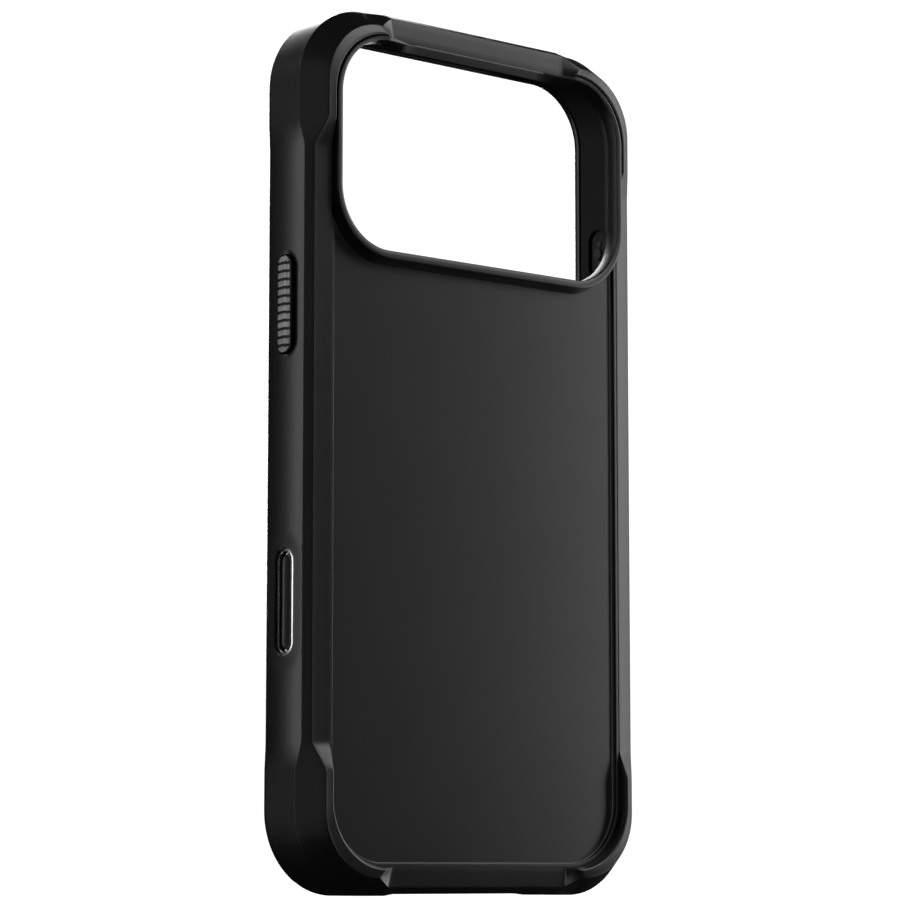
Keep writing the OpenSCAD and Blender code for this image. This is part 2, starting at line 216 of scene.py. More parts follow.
# %% Sizes along the way round
bump_length, side_ramp = 21.2, 5.3      # of a corner bump along the side, and of its slope
ramp_end, foot_end = 20.7, 18.3         # the same at the ends: where slope and foot stop
arc_stops = np.linspace(0, 90, 33)

keys = {                                # node: (length, width, which side)
    "side_button": (17.4, 3.2, -1),
    "action_button": (7.0, 3.2, 1),
    "volume_up": (9.8, 3.2, 1),
    "volume_down": (9.8, 3.2, 1)}
key_z = {node: np.mean([corner[2] for corner in box_mm(node)]) for node in keys}
touch_length, touch_w, touch_wall = 18.9, 4.9, 0.85
touch_z = np.mean([corner[2] for corner in box_mm("touch_bezel")])


def side_stops(side):
    """Heights of the stations on one side, close together beside a button."""
    zones = [(key_z[n], keys[n][0] / 2 + 2.6) for n in keys if keys[n][2] == side]
    if side < 0:
        zones.append((touch_z, touch_length / 2 + 2.6))
    reach = mid_z - bump_length
    z, stops = mid_z - reach, []
    while z < mid_z + reach - 0.2:
        stops.append(z)
        near = any(abs(z - centre) < half for centre, half in zones)
        slope = abs(z - mid_z) > reach - side_ramp - 1
        z += 0.32 if near else 0.6 if slope else 1.8
    return np.array(stops + [mid_z + reach])


def all_round():
    """Rows of (kind, value, x sign, z sign): kind 0 side, 1 arc, 2 slope, 3 end."""
    rows = []
    slope = np.linspace(0, 1, 14)[1:]
    ends = np.linspace(-ramp_end, ramp_end, 61)[1:-1]
    for z in side_stops(1):
        rows.append((0, z, 1, np.sign(z - mid_z)))
    rows += [(1, a, 1, 1) for a in arc_stops]
    rows += [(2, e, 1, 1) for e in slope]
    rows += [(3, x, np.sign(x), 1) for x in ends[::-1]]
    rows += [(2, e, -1, 1) for e in slope[::-1]]
    rows += [(1, a, -1, 1) for a in arc_stops[::-1]]
    for z in side_stops(-1)[::-1]:
        rows.append((0, z, -1, np.sign(z - mid_z)))
    rows += [(1, a, -1, -1) for a in arc_stops]
    rows += [(2, e, -1, -1) for e in slope]
    rows += [(3, x, np.sign(x), -1) for x in ends]
    rows += [(2, e, 1, -1) for e in slope[::-1]]
    rows += [(1, a, 1, -1) for a in arc_stops[::-1]]
    return np.array(rows).T


kind, value, sign_x, sign_z = all_round()
stations = len(kind)


def eased(t, soft=0.1):
    """A straight slope from 0 to 1 with small rounds where it starts and stops."""
    t = np.clip(t, 0, 1)
    low, high = np.minimum(t / soft, 1), np.minimum((1 - t) / soft, 1)
    bend = soft / 2 * ((1 - low) ** 2 - (1 - high) ** 2)
    return (t + bend - soft / 2) / (1 - soft)


on_side, on_arc, on_slope, on_end = (kind == k for k in range(4))
rise = (np.abs(value - mid_z) - (mid_z - bump_length - side_ramp)) / side_ramp
bump_back = np.where(on_side, eased(rise), np.where(on_arc, 1, np.where(
    on_slope, eased(1 - value), 0)))
on_top = (on_end | on_slope) & (sign_z > 0)              # no feet at the top end
bump_out = np.where(on_end & ~on_top, eased((np.abs(value) - foot_end) / (ramp_end - foot_end)),
                    np.where(on_side, bump_back, 1))
print("stations round the case:", stations)


def carried(rows):
    """Points of a section: rows of (side inset, end inset, y, corner radius) by station."""
    inset_x, inset_z, y, radius = np.moveaxis(rows, -1, 0)
    cx, cz = half_w - inset_x - radius, mid_z - inset_z - radius
    turn = np.radians(np.where(on_arc, value, 0))
    x = np.where(on_side, half_w - inset_x, np.where(on_arc, cx + radius * np.cos(turn),
        np.where(on_slope, cx + (ramp_end - cx) * value, np.abs(value))))
    z = np.where(on_arc, cz + radius * np.sin(turn), mid_z - inset_z)
    return np.stack([x * sign_x, y, np.where(on_side, value, mid_z + z * sign_z)], -1)


# %% [markdown]
# ## Rounded sections
# Real moulded edges are never sharp: a small round catches the light and draws the line of
# each edge. The section is given by its corners, and each corner gets its own round, as a
# fillet does in a CAD sketch. The round is a conic curve, which is a true arc here.

# %% Rounds at the corners of a section
edge_share = 0.45                       # a round takes up this much of an edge at most


def rounded(rows, rounds, steps, fills):
    """rows: (corner, station, 4). Returns the rounded section, (point, station, 4)."""
    groups, n = [], len(rows)
    for i, b in enumerate(rows):
        if steps[i] == 0:
            groups.append([b])
            continue
        u, v = rows[i - 1] - b, rows[(i + 1) % n] - b
        length_u, length_v = (np.hypot(w[:, 0], w[:, 2])[:, None] for w in (u, v))
        level = (u[:, 0] * v[:, 0] + u[:, 2] * v[:, 2])[:, None] / (length_u * length_v)
        half = np.arccos(np.clip(level, -0.9999, 0.9999)) / 2
        radius = np.broadcast_to(rounds[i], stations)[:, None]
        reach = np.minimum(radius / np.tan(half), edge_share * np.minimum(length_u, length_v))
        start, stop = b + u / length_u * reach, b + v / length_v * reach
        weight = np.sin(half)
        group = []
        for t in np.linspace(0, 1, steps[i] + 1):
            h = (1 - t) ** 2, 2 * t * (1 - t) * weight, t * t
            group.append((h[0] * start + h[1] * b + h[2] * stop) / sum(h))
        groups.append(group)
    out = []
    for i, group in enumerate(groups):
        out += group
        after = groups[(i + 1) % n][0]
        for k in range(1, fills[i] + 1):
            out.append(group[-1] + (after - group[-1]) * k / (fills[i] + 1))
    return np.array(out), [sum(len(g) for g in groups[:i]) + sum(fills[:i])
                           for i in range(n)]


def blend(edge, corner, share):
    """One corner of the section at every station: edge values, corner values, how much."""
    edge, corner = np.array(edge, float), np.array(corner, float)
    return edge + (corner - edge) * np.asarray(share)[:, None]


def everywhere(*corner):
    """One corner of the section that is the same at every station."""
    return np.tile(np.array(corner, float), (stations, 1))


print("a round takes up at most", edge_share, "of the edges beside it")


# %% [markdown]
# ## The bumper
# It is one piece of soft elastomer: a front lip, a wall, and at the back a chamfer and a
# facet that rise into four blunt corner bumps. Its section is carried round the case in one
# go, which keeps it closed and gives every edge its round. The long walls are slightly
# crowned, so the light runs across them as a soft gradient.

# %% The bumper's section
corner_r, wall, end_wall = 14.7, 3.6, 3.4
parting, flange_inset, flange_t = 4.95, 2.3, 0.8
ring_r = 12.04                          # corner radius of everything inside the bumper
lip = (3.95, 3.75)                      # inset of the front opening at the sides and ends
y_screen = half_d - 1.45
y_facet, facet_lean = y_back + 1.75, 0.51
crown = 0.48                            # of the long walls


def outer(inset, y, added=0.0):
    return (inset, inset, y, corner_r - inset + added)


back, out = bump_back, bump_out
pocket, pocket_r, lip_r, groove_r = (wall, end_wall), 11.6, 11.25, ring_r + 2.65
section = [                             # (corner, its round, points on it, points after it)
    (everywhere(*lip, half_d, lip_r), 0.45, 5, 0),
    (blend(outer(0.2, half_d), outer(0, half_d), out), 1.3, 7, 30),
    (blend(outer(0.34, y_facet + facet_lean + 1.49), outer(0, y_back + 4.995), back),
     0.16 - 0.04 * back, 4, 3),
    (blend(outer(1.5, y_facet + facet_lean), outer(3.13, y_back + 0.335, 0.3), back),
     0.16 + 0.2 * back, 4, 2),
    (blend(outer(parting - 0.03, y_facet, 2.3), outer(4.55, y_back, 1.85), back),
     0.02 + 0.26 * back, 4, 0),
    (blend((parting, parting, y_facet + 0.25, ring_r),
           (parting, parting, y_back + 0.75, ring_r), back), 0, 0, 0),
    (everywhere(parting, parting, y_floor - flange_t, ring_r), 0, 0, 0),
    (everywhere(flange_inset, flange_inset, y_floor - flange_t, groove_r), 0, 0, 0),
    (everywhere(flange_inset, flange_inset, y_floor, groove_r), 0, 0, 0),
    (everywhere(*pocket, y_floor, pocket_r), 0, 0, 3),
    (everywhere(*pocket, y_screen, pocket_r), 0.3, 3, 0),
    (everywhere(*lip, y_screen, lip_r), 0.2, 2, 0)]
# the insets of the wall's corners follow the feet at the two ends of the case
foot = np.where(on_end | on_slope, bump_out - bump_back, 0)[:, None]
section[2][0][:, :2] -= 0.34 * foot
# along the top the facet is taller and the chamfer beside it lower
top_end = np.where(on_top, 1 - bump_back, 0)[:, None]
section[3][0][:, 1:3] += top_end * np.array([-0.55, -0.25])
shape, starts = rounded(*zip(*section))
print("points in the bumper's section:", len(shape))

# %% [markdown]
# ## Dished recesses
# Each button has a shallow dish beside it, towards the back of the case, where the fingertip
# comes from. The dish is pressed into the grid itself: a point of the wall moves inwards by
# an amount that depends on how far it is from the button's outline. A boolean could scoop it
# out too, but it would leave a hard rim, where the real mould runs out softly.

# %% Press the crown and the dishes into the wall
def beyond_pill(y, z, length, width):
    """How far a point lies outside a stadium that is length by width."""
    along = np.maximum(np.abs(z) - (length - width) / 2, 0)
    return np.hypot(y, along) - width / 2


def dish(distance, depth, flat, soft):
    t = np.clip((distance - flat) / soft, 0, 1)
    return depth * (1 - t * t * (3 - 2 * t))


key_dish = {"depth": 0.75, "flat": 0.3, "soft": 1.4}
touch_dish = {"depth": 0.14, "flat": 0.1, "soft": 3.0}
dish_shorter = 1.6                      # than the button beside it
wall_rows = slice(starts[1] + 4, starts[2] + 1)
y_wall = shape[wall_rows, :, 2]
y_top, y_low = y_wall.max(), y_wall.min(0)
t = np.clip((y_wall - y_low) / (y_top - y_low), 0, 1)
push = -crown * 4 * t * (1 - t) * np.where(on_side, 1 - bump_back, 0)
for node, (length, width, side) in keys.items():
    far = beyond_pill(y_wall - y_button, value - key_z[node], length - dish_shorter, width)
    behind = np.clip((0.7 - (y_wall - y_button)) / 1.8, 0, 1)
    push += dish(far, **key_dish) * behind * behind * (on_side & (sign_x == side))
far = beyond_pill(y_wall - y_button, value - touch_z, touch_length, touch_w)
push += dish(far, **touch_dish) * (on_side & (sign_x < 0))
shape[wall_rows, :, 0] += push

bumper = to_object("bumper_shell", carried(shape).reshape(-1, 3),
                   grid_faces(len(shape), stations), rubber, "case",
                   ["bumper"])
print("bumper faces:", len(bumper.data.polygons))

# %% [markdown]
# ## Slots and ports
# The slots of the buttons, the seat of the touch strip, the charging port and the speaker
# slots are cut out with one boolean. All the cutters are separate closed solids in one mesh,
# so the bumper is only cut once. A slot is a stack of stadium outlines, narrow outside and
# wide inside, where the button's clip lies.

# %% Cutters
def pill_outline(length, width, n=20):
    """A stadium round the origin as (y, z) points, the long way up."""
    a = np.linspace(0, math.pi, n)
    r, half = width / 2, (length - width) / 2
    top = np.stack([r * np.cos(a), half + r * np.sin(a)], -1)
    return np.concatenate([top, -top])


def pill_stack(levels, side, z, n=20):
    """Points and faces of a closed stack of stadiums: levels of (x, length, width)."""
    points = []
    for x, length, width in levels:
        ring = pill_outline(length, width, n)
        points.append(np.column_stack([np.full(len(ring), side * x), ring[:, 0] + y_button,
                                       ring[:, 1] + z]))
    count = len(points[0])
    faces = grid_faces(len(levels), count, close_rows=False)
    faces += [tuple(range(count)), tuple((len(levels) - 1) * count + k
                                         for k in reversed(range(count)))]
    return np.concatenate(points), faces


pocket_x, gap, shelf, clip_more = half_w - wall, 0.25, 37.15, 0.9
cutters = []
for node, (length, width, side) in keys.items():
    inside = (length + 2 * (clip_more + gap), width + clip_more + 2 * gap)
    slot = (length + 2 * gap, width + 2 * gap)
    cutters.append(pill_stack([(pocket_x - 2, *inside), (shelf, *inside), (shelf, *slot),
                               (half_w + 2, *slot)], side, key_z[node]))
strip_in = (touch_length - 2 * touch_wall, touch_w - 2 * touch_wall)
strip_wide = (strip_in[0] + 1.6, strip_in[1] + 1.6)
strip_shelf, ring_shelf = 37.5, 38.0    # how far out the strip's and the ring's seats lie
seat = (touch_length + 0.06, touch_w + 0.06)
cutters.append(pill_stack([(pocket_x - 2, *strip_wide), (strip_shelf, *strip_wide),
                           (strip_shelf, *strip_in), (ring_shelf, *strip_in),
                           (ring_shelf, *seat), (half_w + 2, *seat)], -1, touch_z))


# %% Charging port and speaker slots
def end_slot(width, height, x):
    """A stadium through the lower end, lying down."""
    ring = pill_outline(width, height)
    points = [np.column_stack([ring[:, 1] + x, ring[:, 0] + y_button,
                               np.full(len(ring), z)]) for z in (-1.0, end_wall + 1)]
    faces = grid_faces(2, len(ring), close_rows=False)
    faces += [tuple(range(len(ring))), tuple(len(ring) + k
                                             for k in reversed(range(len(ring))))]
    return np.concatenate(points), faces


port_w, port_h, speaker_w, speaker_h, web = 13, 6.4, 14, 2.6, 2.5
cutters.append(end_slot(port_w, port_h, 0))
for side in (-1, 1):
    cutters.append(end_slot(speaker_w, speaker_h, side * ((port_w + speaker_w) / 2 + web)))

points, faces = [], []
for more_points, more_faces in cutters:
    faces += shifted(more_faces, sum(len(p) for p in points))
    points.append(more_points)
cutter = to_object("slot_cutters", np.concatenate(points), faces, None, None)
print("cutters:", len(cutters))


# %% One cut for all the slots
def cut(piece, tool):
    """Cuts tool out of piece, and takes the tool away."""
    modifier = piece.modifiers.new("cut", "BOOLEAN")
    modifier.operation = "DIFFERENCE"
    modifier.solver = "MANIFOLD"
    modifier.object = tool
    evaluated = piece.evaluated_get(bpy.context.evaluated_depsgraph_get())
    mesh = bpy.data.meshes.new_from_object(evaluated)
    piece.modifiers.clear()
    piece.data = mesh
    bpy.data.objects.remove(tool)
    shade(mesh)


before = len(bumper.data.polygons)
cut(bumper, cutter)
print("bumper faces before and after the cut:", before, len(bumper.data.polygons))

# %% [markdown]
# ## The pocket's finish
# The mould leaves the rubber matte where it holds the phone. Its colour there is also a little
# darker and its reflection weaker, which is painted shade inside the pocket. The bumper is one
# piece, so it carries two finishes: each face gets the number of its own. A face counts as inside
# if its

# %% A matte finish with painted shade inside the pocket
def outside_pocket(x, z):
    """Distance outside the pocket's outline, less than zero inside it."""
    over_x = abs(x) - (half_w - wall - pocket_r)
    over_z = abs(z - mid_z) - (mid_z - end_wall - pocket_r)
    return (math.hypot(max(over_x, 0), max(over_z, 0)) + min(max(over_x, over_z), 0)
            - pocket_r)


bumper.data.materials.clear()
for material in (rubber, pocket_rubber_painted_shade):
    bumper.data.materials.append(material)
for face in bumper.data.polygons:
    x, y, z = np.array(face.center) / MM
    face.material_index = int(outside_pocket(x, z) < 0.02
                              and y_floor - flange_t - 0.1 < y < y_screen + 0.02)
print("faces with the matte finish:", sum(f.material_index for f in bumper.data.polygons))

# %% [markdown]
# ## The camera surround
# A raised ring of stiffer plastic frames the camera window. Its rim is crowned, its foot
# spreads a little onto the panel, and along the top it drops to lie flush with the bumper's
# facet, where the window's edge opens out in a wide bevel. Its section changes on the way
# round as the bumper's does, so it is made in the same way.

# %% The ring's line and section
ring_low, ring_high = box_mm("camera_ring")
ring_flange = 0.9
ring_hw = ring_high[0] - ring_flange
ring_bottom, ring_top = ring_low[2] + ring_flange, case_h - parting
window_hw, window_bottom, window_top = 33.46, ring_bottom + 1.5, ring_top - 0.7
window_r = 10.8


def ring_line():
    """(kind, value, x sign, z sign): kind 0 side, 1 arc, 2 end, with shares from 0 to 1."""
    arcs, shares = np.linspace(0, 90, 37), np.linspace(0, 1, 121)[1:-1]
    rows = [(0, s, 1, 0) for s in shares[::3]]
    rows += [(1, a, 1, 1) for a in arcs] + [(2, s, 0, 1) for s in shares]
    rows += [(1, a, -1, 1) for a in arcs[::-1]] + [(0, 1 - s, -1, 0) for s in shares[::3]]
    rows += [(1, a, -1, -1) for a in arcs] + [(2, 1 - s, 0, -1) for s in shares]
    rows += [(1, a, 1, -1) for a in arcs[::-1]]
    return np.array(rows).T


r_kind, r_value, r_sx, r_sz = ring_line()
turn = np.radians(r_value)
normal_z = np.where(r_kind == 1, np.sin(turn), np.where(r_kind == 2, 1, 0)) * r_sz
over_x = np.abs(np.where(r_kind == 2, (1 - 2 * r_value) * (window_hw - window_r), np.inf))
over_x[r_sz != 1] = np.inf


def ring_points(rows):
    """rows of (half width, bottom, top, radius, y) by station, to points."""
    hw, low, high, r, y = np.moveaxis(rows, -1, 0)
    side = (hw, low + r + (high - low - 2 * r) * r_value)
    arc = (hw - r + r * np.cos(turn), np.where(r_sz > 0, high - r + r * np.sin(turn),
                                               low + r - r * np.sin(turn)))
    end = ((hw - r) * (1 - 2 * r_value), np.where(r_sz > 0, high, low))
    x = np.where(r_kind == 0, side[0] * r_sx, np.where(r_kind == 1, arc[0] * r_sx, end[0]))
    z = np.where(r_kind == 0, side[1], np.where(r_kind == 1, arc[1], end[1]))
    return np.stack([x, y, z], -1)


ease_out = 2.6                          # the outer edge sinks to the facet over this length
flush = eased((ramp_end + ease_out - over_x) / ease_out, 0.2)
flush_in = np.clip((ramp_end + 3 - over_x) / 9, 0, 1)
flush_in = flush_in * flush_in * (3 - 2 * flush_in)         # the inner edge follows slowly
low_side = np.clip(-normal_z, 0, 1) ** 1.5
top_side = np.clip(normal_z, 0, 1) ** 3
print("stations round the ring:", len(r_kind))


# %% The corners of the ring's section
def ring_row(grow, y, radius=None, up=0.0):
    """A corner of the section: grow is outwards from the window's edge."""
    row = np.zeros((len(r_kind), 5))
    row[:, 0] = window_hw + grow
    row[:, 1] = window_bottom - grow
    row[:, 2] = window_top + grow + up
    row[:, 3] = window_r + grow if radius is None else radius
    row[:, 4] = y
    return row


def outer_row(more, y):
    row = ring_row(0, y)
    row[:, 0], row[:, 1], row[:, 2] = ring_hw + more, ring_bottom - more, ring_top + more
    row[:, 3] = ring_r + more
    return row


def mixed(a, b, share):
    return a + (b - a) * np.asarray(share)[:, None]


rim_y, slope_y, step_y = y_back + 0.03, y_facet - 0.02, y_floor - 0.9
base_y, knee_h, foot_w = y_panel - 0.02, 1.15, 0.75
bevel_drop, step_in, step_r = 0.93, 0.55, 11.2
rim_out = mixed(outer_row(0, rim_y), outer_row(0, y_facet), flush)
rim_mid = mixed(ring_row(0.62, rim_y - 0.005, 11.42), ring_row(0.42, slope_y, 11.3), flush_in)
rim_in = mixed(ring_row(0, rim_y + 0.12), ring_row(0.42 - 0.02, slope_y, step_r), flush_in)
bevel = ring_row(0, step_y)
bevel[:, 2] -= bevel_drop * top_side * np.clip(flush_in + 0.35 * top_side, 0, 1)
foot_row = outer_row(0, base_y)
foot_row[:, :4] += (foot_w * low_side)[:, None] * np.array([1, -1, 1, 1])
knee = mixed(outer_row(0, y_panel - knee_h), outer_row(0, y_facet + 0.3), flush)
ring_section = [                        # (corner, its round, points on it)
    (rim_out, 0.34 * (1 - flush) + 0.004, 5),
    (rim_mid, 0, 0),
    (rim_in, 0.3 * (1 - 0.93 * flush_in), 5),
    (bevel, 0.08, 2),
    (ring_row(step_in, step_y, step_r, up=-0.2), 0, 0),
    (ring_row(step_in, y_lining, step_r, up=-0.2), 0.06, 1),
    (outer_row(ring_flange, y_lining), 0.06, 1),
    (outer_row(ring_flange, y_floor), 0, 0),
    (outer_row(0, y_floor), 0, 0),
    (outer_row(0, base_y), 0, 0),
    (foot_row, 0, 0),
    (knee, 0.9 * low_side + 0.02, 5)]


# %% Round the ring's section and make the ring
def rounded_ring(parts):
    """The same rounds as before; a ring's rows carry five values instead of four."""
    rows, out = [part[0] for part in parts], []
    for i, (b, radius, steps) in enumerate(parts):
        if steps == 0:
            out.append(b)
            continue
        u, v = rows[i - 1] - b, rows[(i + 1) % len(rows)] - b
        lengths = [np.sqrt((w[:, :3] ** 2).max(1) + w[:, 4] ** 2)[:, None] + 1e-9
                   for w in (u, v)]
        across = [np.where(normal_z < -0.5, -w[:, 1], np.where(normal_z > 0.5, w[:, 2],
                                                              w[:, 0])) for w in (u, v)]
        level = (across[0] * across[1] + u[:, 4] * v[:, 4])[:, None] / (
            lengths[0] * lengths[1])
        half = np.arccos(np.clip(level, -0.9999, 0.9999)) / 2
        radius = np.broadcast_to(radius, len(r_kind))[:, None]
        reach = np.minimum(radius / np.tan(half), edge_share * np.minimum(*lengths))
        start, stop = b + u / lengths[0] * reach, b + v / lengths[1] * reach
        for t in np.linspace(0, 1, steps + 1):
            h = (1 - t) ** 2, 2 * t * (1 - t) * np.sin(half), t * t
            out.append((h[0] * start + h[1] * b + h[2] * stop) / sum(h))
    return np.array(out)


ring_shape = rounded_ring(ring_section)
to_object("camera_surround", ring_points(ring_shape).reshape(-1, 3),
          grid_faces(len(ring_shape), len(r_kind)), surround, "case",
          ["camera_ring"])
print("surround: window", 2 * window_hw, "x", window_top - window_bottom, "mm")

# %% [markdown]
# ## The frame
# A stiff frame lies between bumper and panel. Outside, only its bead shows, a slim raised
# line round the panel. Its fine round draws a bright line, and a hollow ends at the panel.
# Inside, its flange closes the gap to the bumper, and a low ledge carries the panel. The
# flange and ledge are plain bars. The bead follows the same stations as the bumper, so the
# two stay parallel, and it stops beside the surround.

# %% The frame's flange and the bead's section
play = 0.02                             # between the flange and the groove it sits in
flange_edge = (flange_inset + play, flange_inset + play)
flange = np.array([everywhere(*row) for row in (
    (*flange_edge, y_floor - flange_t, groove_r - play),
    (parting, parting, y_floor - flange_t, ring_r), (parting, parting, y_floor, ring_r),
    (*flange_edge, y_floor, groove_r - play))])
frame_points = [carried(flange).reshape(-1, 3)]
frame_faces = grid_faces(4, stations)

bead_h, bead_w, ledge_w, ledge_t = 0.75, 0.83, 2.4, 0.45
bead_top, bead_in, edge_r = y_panel - bead_h, parting + bead_w, 0.12


def bead_profile(foot_r):
    """(inset, y) round the bead; foot_r is the radius of the hollow at the panel."""
    line = [(parting + 0.01, y_floor - 0.01), (parting + 0.01, bead_top + 0.08),
            (parting + 0.1, bead_top), (bead_in - 0.3, bead_top - 0.02)]
    for a in np.radians(np.linspace(0, 90, 5)):
        line.append((bead_in - 0.1 - edge_r * (1 - np.sin(a)),
                     bead_top - 0.02 + edge_r * (1 - np.cos(a))))
    for a in np.radians(np.linspace(0, 84, 7)):
        line.append((bead_in - 0.1 + foot_r * (1 - np.cos(a)),
                     y_panel - 0.003 - foot_r * (1 - np.sin(a))))
    return line + [(bead_in + 0.05, y_panel - 0.001), (bead_in, y_panel - 0.001),
                   (bead_in, y_floor - 0.01)]


# %% Bars along the lower part of the case
def below(z):
    """The stations below a height, in their order along the case."""
    ids = np.flatnonzero((sign_z < 0) | (on_side & (value < z)))
    first = next(k for k in range(len(ids)) if ids[k] - ids[k - 1] > 1)
    return np.roll(ids, -first)


def open_sweep(rows, ids):
    """A bar with this section along the stations ids, closed at its two ends."""
    n, count = len(rows), len(ids)
    faces = grid_faces(n, count, close_columns=False)
    faces += [tuple(k * count for k in range(n)),
              tuple(k * count + count - 1 for k in reversed(range(n)))]
    return carried(rows)[:, ids].reshape(-1, 3), faces


side_hollow, end_hollow = 0.55, 0.16    # radius of the bead's hollow along sides and ends
under_ring = 7.5                        # how far the bead runs on beside the surround
to_end = np.where(on_side, 0, np.where(on_arc, np.sin(np.radians(value)), 1))
bead_rows = np.array([blend(*[(i, i, y, ring_r - (i - parting)) for i, y in pair], to_end)
                      for pair in zip(bead_profile(side_hollow), bead_profile(end_hollow))])
ledge_rows = np.array([everywhere(i, i, y, ring_r - (i - parting)) for i, y in (
    (bead_in + 0.002, y_floor - ledge_t), (bead_in + ledge_w, y_floor - ledge_t),
    (bead_in + ledge_w, y_floor - 0.01), (bead_in + 0.002, y_floor - 0.01))])
for rows, top in ((bead_rows, ring_bottom + under_ring), (ledge_rows, ring_bottom - ring_flange)):
    bar_points, bar_faces = open_sweep(rows, below(top))
    frame_faces += shifted(bar_faces, sum(len(p) for p in frame_points))
    frame_points.append(bar_points)
frame_piece = to_object("frame_bead", np.concatenate(frame_points), frame_faces,
                        frame_plastic, "case", ["back_frame"])
print("frame faces:", len(frame_piece.data.polygons))

# %% [markdown]
# ## Knurled buttons
# The metal buttons have a knurled face: slanting ridges in two offset columns, so a thumb
# doesn't slip. A texture would look flat at the edge of the button, so the ridges are real
# relief on a fine grid that is fitted into the button's stadium outline. The grooves and the
# cap's sides below its face get a black material as painted shade, while the tops of the
# ridges are bare metal.

# %% A knurled cap
cap_out = box_mm("action_button")[1][0]
clip_out = box_mm("action_button_clip")[1][0]
pitch, slant, groove, edge_round = 1.46, 0.03, 0.24, 0.22


def ridge_place(y, z, width):
    """Where a point lies between two grooves: 0 in a groove, 0.5 on top of a ridge."""
    shift = 0.1 * (-y > 0.2 * width)            # the narrow column, nearer the back
    along = (z + slant * y) / pitch + shift
    return np.abs((along + 0.5) % 1 - 0.5), along % 1


def knurled_cap(node, name, body):
    length, width, side = keys[node]
    rows, columns = int(length / 0.055), 29
    z = np.linspace(-length / 2 + 0.02, length / 2 - 0.02, rows)[:, None]
    over = np.maximum(np.abs(z) - (length - width) / 2, 0)
    half = np.sqrt(np.maximum((width / 2) ** 2 - over ** 2, 0.15 ** 2))
    y = np.sin(np.linspace(-1, 1, columns) * math.pi / 2)[None, :] * half
    z = z + 0 * y
    inside = -beyond_pill(y, z, length, width)
    drop = edge_round - np.sqrt(np.maximum(
        edge_round ** 2 - np.maximum(edge_round - inside, 0) ** 2, 0))
    place, along = ridge_place(y, z, width)
    carve = groove * np.clip(1.9 - place / 0.1, 0, 1)
    fine = 0.05 * np.clip(1 - np.abs(along - 0.55) / 0.06, 0, 1)
    seam = 0.12 * np.clip(1 - np.abs(-y - 0.2 * width) / 0.13, 0, 1)
    x = cap_out - drop - np.maximum(np.maximum(carve, seam), fine) * (inside > 0.12)
    face = np.stack([side * x, y + y_button, z + key_z[node]], -1)
    low = face.copy()
    low[..., 0] = side * (clip_out + 0.01)
    count = rows * columns
    points = np.concatenate([face.reshape(-1, 3), low.reshape(-1, 3)])
    top = grid_faces(rows, columns, False, False)
    faces = top + [tuple(reversed(f)) for f in shifted(top, count)]
    border = ([(i, 0) for i in range(rows)] + [(rows - 1, j) for j in range(1, columns)]
              + [(i, columns - 1) for i in range(rows - 2, -1, -1)]
              + [(0, j) for j in range(columns - 2, 0, -1)])
    ids = [i * columns + j for i, j in border]
    for a, b in zip(ids, ids[1:] + ids[:1]):
        faces.append((a, b, b + count, a + count))
    for end in (-1, 1):                                # the posts that hold the clip
        post, post_faces = pill_stack([(clip_out - 0.5, 1.2, 1.199),
                                       (clip_out + 0.02, 1.2, 1.199)], side,
                                      key_z[node] + end * (length - width) / 2, n=12)
        faces += shifted(post_faces, len(points))
        points = np.concatenate([points, post])
    cap = to_object(name, points, faces, metal, body, [node])
    # faces in the grooves and on the cap's sides below its face take the black: painted shade
    cap.data.materials.append(groove_painted_shade)
    for polygon in cap.data.polygons:
        x, y, z = np.array(polygon.center) / MM
        place = ridge_place(y - y_button, z - key_z[node], width)[0]
        polygon.material_index = int(place < 0.15 or abs(x) < cap_out - 0.26)
    shade(cap.data, 40)


knurled_cap("side_button", "side_button_cap", "side_key")
knurled_cap("action_button", "action_button_cap", "action_key")
knurled_cap("volume_up", "volume_up_cap", "volume_up_key")
knurled_cap("volume_down", "volume_down_cap", "volume_down_key")
print("knurled caps stand", cap_out - half_w, "mm proud")

# %% [markdown]
# ## The touch strip
# A glossy black strip lies in a bright metal ring, a little below it, with a dark gap all
# round. The ring slopes down outwards, so only its side towards the light shines. The strip
# is a stack of stadiums that closes with a soft edge and a slightly hollow face. A bevelled
# box would be quicker, but a stack gives the soft edge and the hollow face in one mesh.

# %% The bright ring
bezel_in, bezel_out = (abs(x) for x in (box_mm("touch_bezel")[1][0],
                                        box_mm("touch_bezel")[0][0]))
ring_fall = 0.1                          # how far the ring slopes down outwards
bar = [(0, bezel_in), (0, bezel_out - ring_fall - 0.1), (0.06, bezel_out - ring_fall)]
for a in np.radians(np.linspace(15, 90, 5)):
    bar.append((touch_wall - 0.26 + 0.12 * np.sin(a), bezel_out - 0.12 + 0.12 * np.cos(a)))
bar += [(touch_wall - 0.12, bezel_in + 0.3), (touch_wall, bezel_in + 0.25),
        (touch_wall, bezel_in)]
points = []
for inset, x in bar:
    outline = pill_outline(touch_length - 2 * inset, touch_w - 2 * inset, 28)
    points.append(np.column_stack([np.full(len(outline), -x), outline[:, 0] + y_button,
                                   outline[:, 1] + touch_z]))
to_object("touch_ring", np.concatenate(points), grid_faces(len(bar), len(points[0])),
          bright, "case", ["touch_bezel"])

